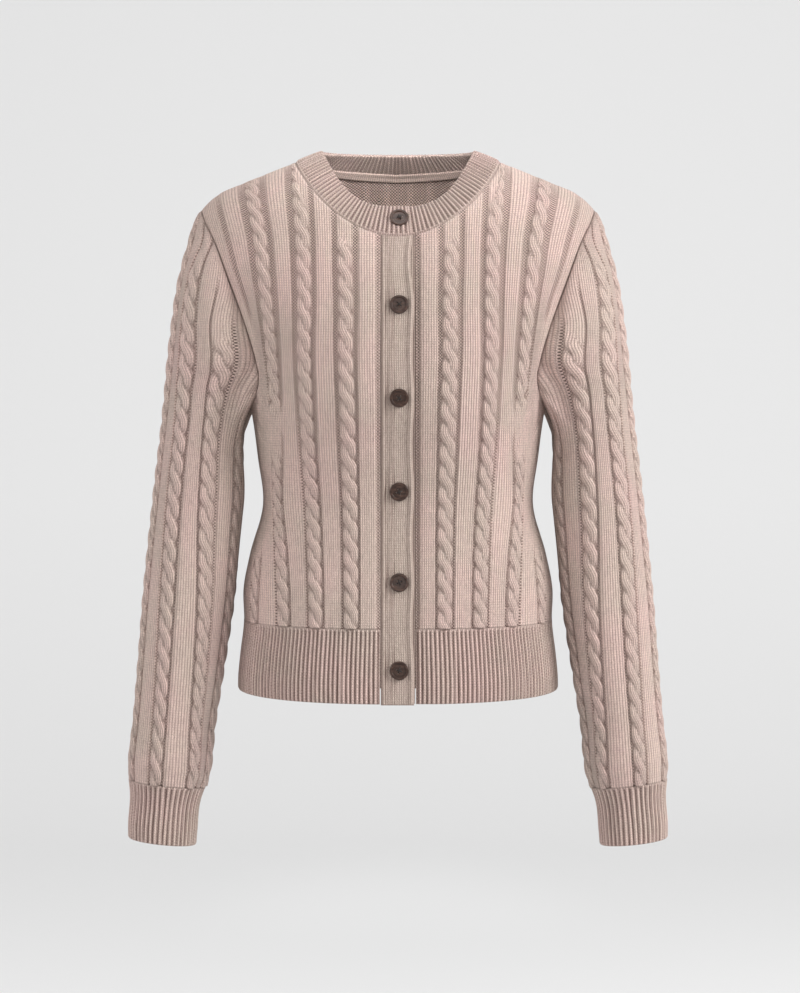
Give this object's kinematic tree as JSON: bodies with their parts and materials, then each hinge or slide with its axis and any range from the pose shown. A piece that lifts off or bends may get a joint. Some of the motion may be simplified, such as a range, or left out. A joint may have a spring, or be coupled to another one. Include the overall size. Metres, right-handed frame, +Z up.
{
  "type": "button cardigan",
  "caption": "Cropped cable-knit button cardigan with a round ribbed neckband, ribbed hem and cuffs, filled out as worn, hollow inside.",
  "frame": {"origin": "midway between the two points where the neckband meets the shoulders, where the wearer's neck and shoulders hold the cardigan up", "axes": "+Z up along the wearer's spine, -Y out of the buttoned front, +X towards the wearer's left sleeve"},
  "size_m": [0.517, 0.22, 0.6711],
  "materials": {
    "knit": "soft mottled yarn, matt, cable knit",
    "knit_rib": "the same yarn in 1x1 rib",
    "band_jersey": "the same yarn in fine jersey, slightly greyer",
    "tape": "smooth self-coloured tape",
    "horn": "dark brown horn-like resin, satin"
  },
  "bodies": {
    "root": {"front_right": "knit", "front_left": "knit", "back": "knit", "sleeve_right": "knit", "sleeve_left": "knit", "hem_rib_front_right": "knit_rib", "hem_rib_front_left": "knit_rib", "hem_rib_back": "knit_rib", "cuff_right": "knit_rib", "cuff_left": "knit_rib", "neckband": "knit_rib", "buttonhole_band": "band_jersey", "button_band": "band_jersey", "neck_tape": "tape", "button_1": "horn", "button_2": "horn", "button_3": "horn", "button_4": "horn", "button_5": "horn", "button_6": "horn"}
  },
  "joints": []
}
